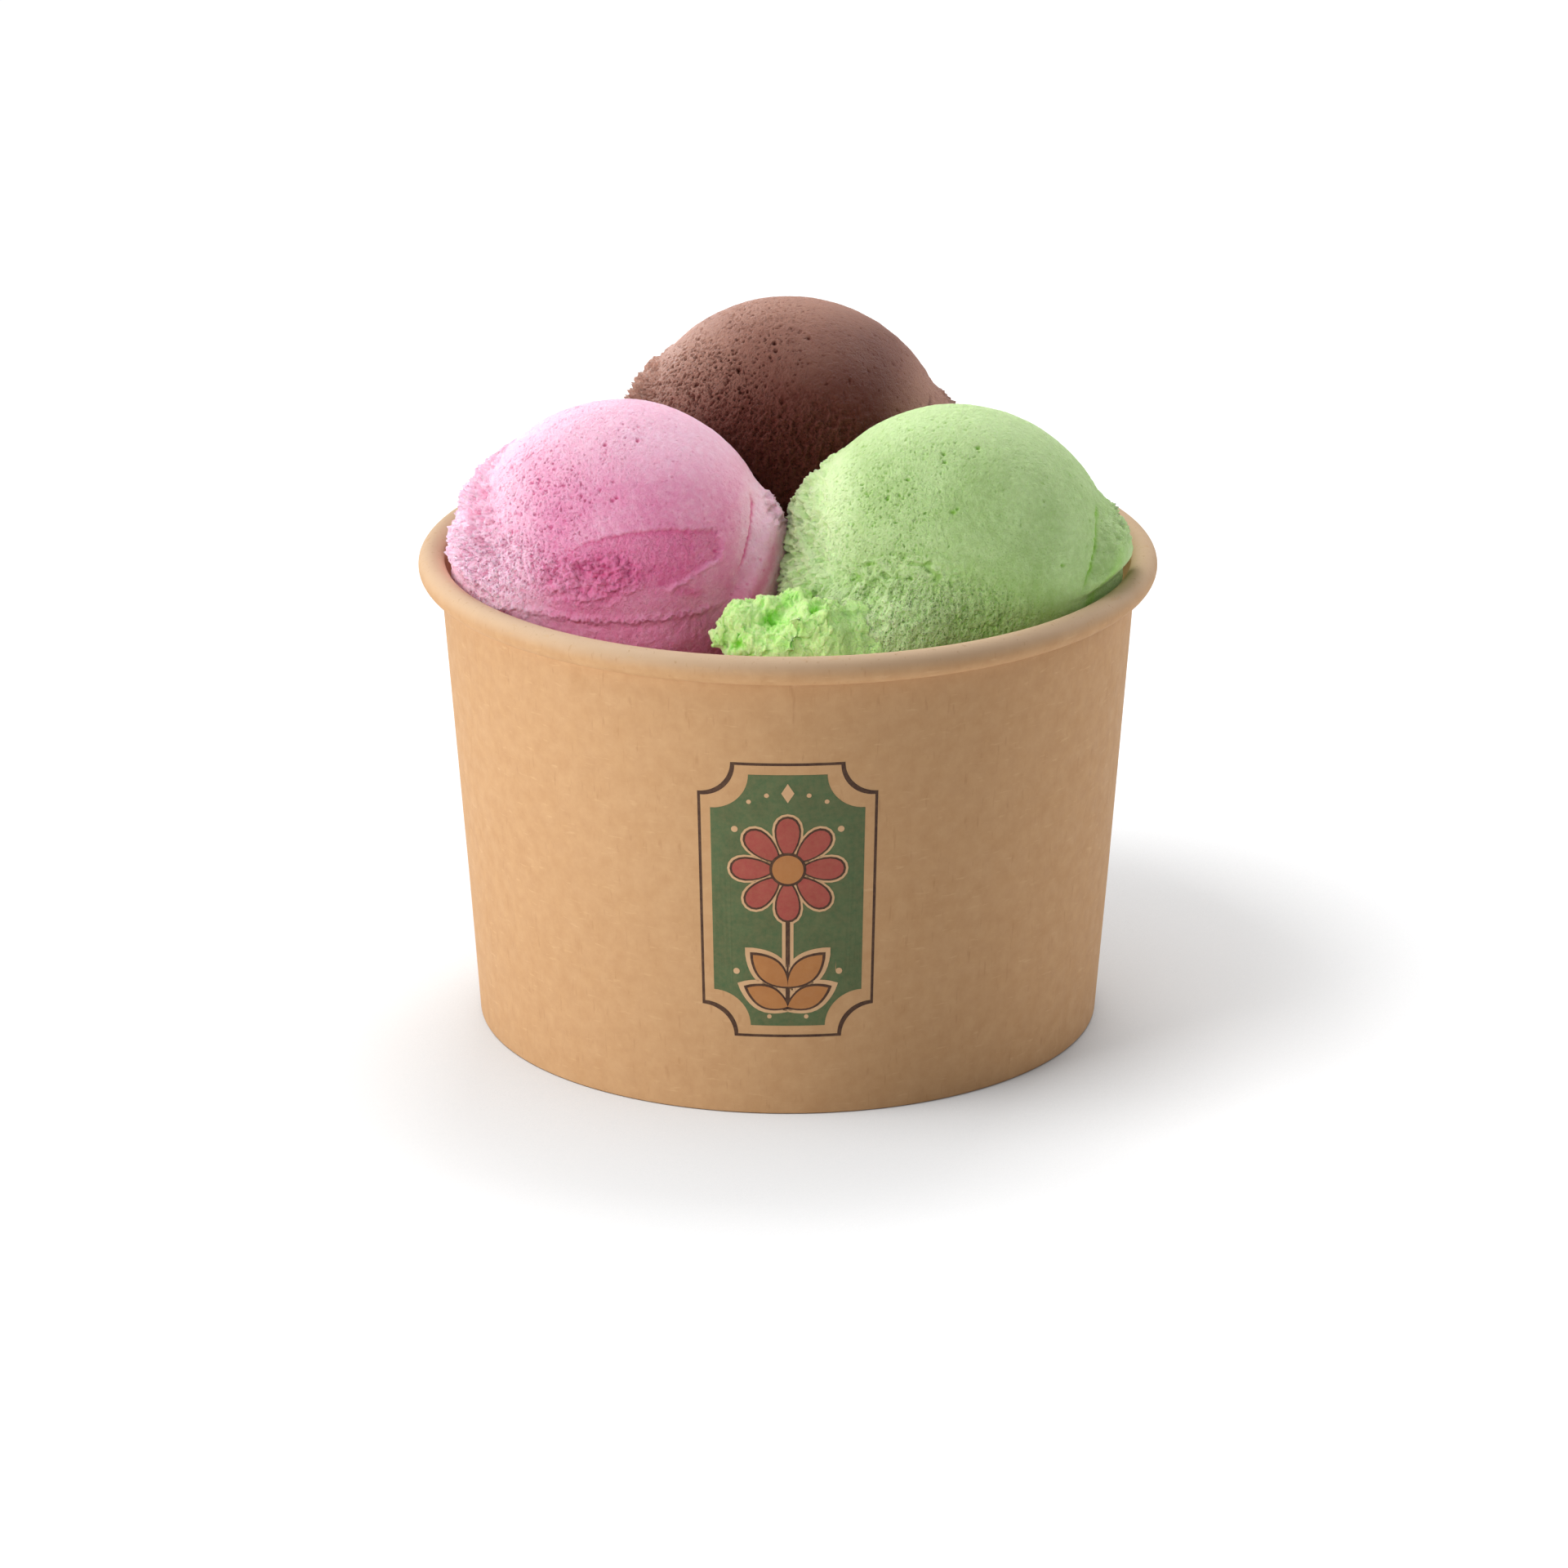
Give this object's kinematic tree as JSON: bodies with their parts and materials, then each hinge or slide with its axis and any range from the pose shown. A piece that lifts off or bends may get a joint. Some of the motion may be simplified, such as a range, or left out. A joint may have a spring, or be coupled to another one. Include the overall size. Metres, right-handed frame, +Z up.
{
  "type": "gelato cup",
  "caption": "Kraft paper cup with a rolled rim, filled with strawberry, pistachio and chocolate gelato that ends in scooped balls.",
  "frame": {"origin": "centre of the cup's foot, on the surface that it stands on", "axes": "+Z up, the front with the plaque faces -Y, the strawberry scoop is at -X and the pistachio scoop at +X"},
  "size_m": [0.096, 0.096, 0.0901],
  "materials": {
    "kraft_paper": "matte unbleached paper with faint fibres",
    "strawberry_gelato": "matte, slightly translucent frozen cream with small pores",
    "pistachio_gelato": "matte, slightly translucent frozen cream with small pores",
    "chocolate_gelato": "matte frozen cream with small pores"
  },
  "bodies": {
    "root": {"cup_wall": "kraft_paper", "cup_base": "kraft_paper", "scoop_strawberry": "strawberry_gelato", "scoop_pistachio": "pistachio_gelato", "scoop_chocolate": "chocolate_gelato"}
  },
  "joints": []
}
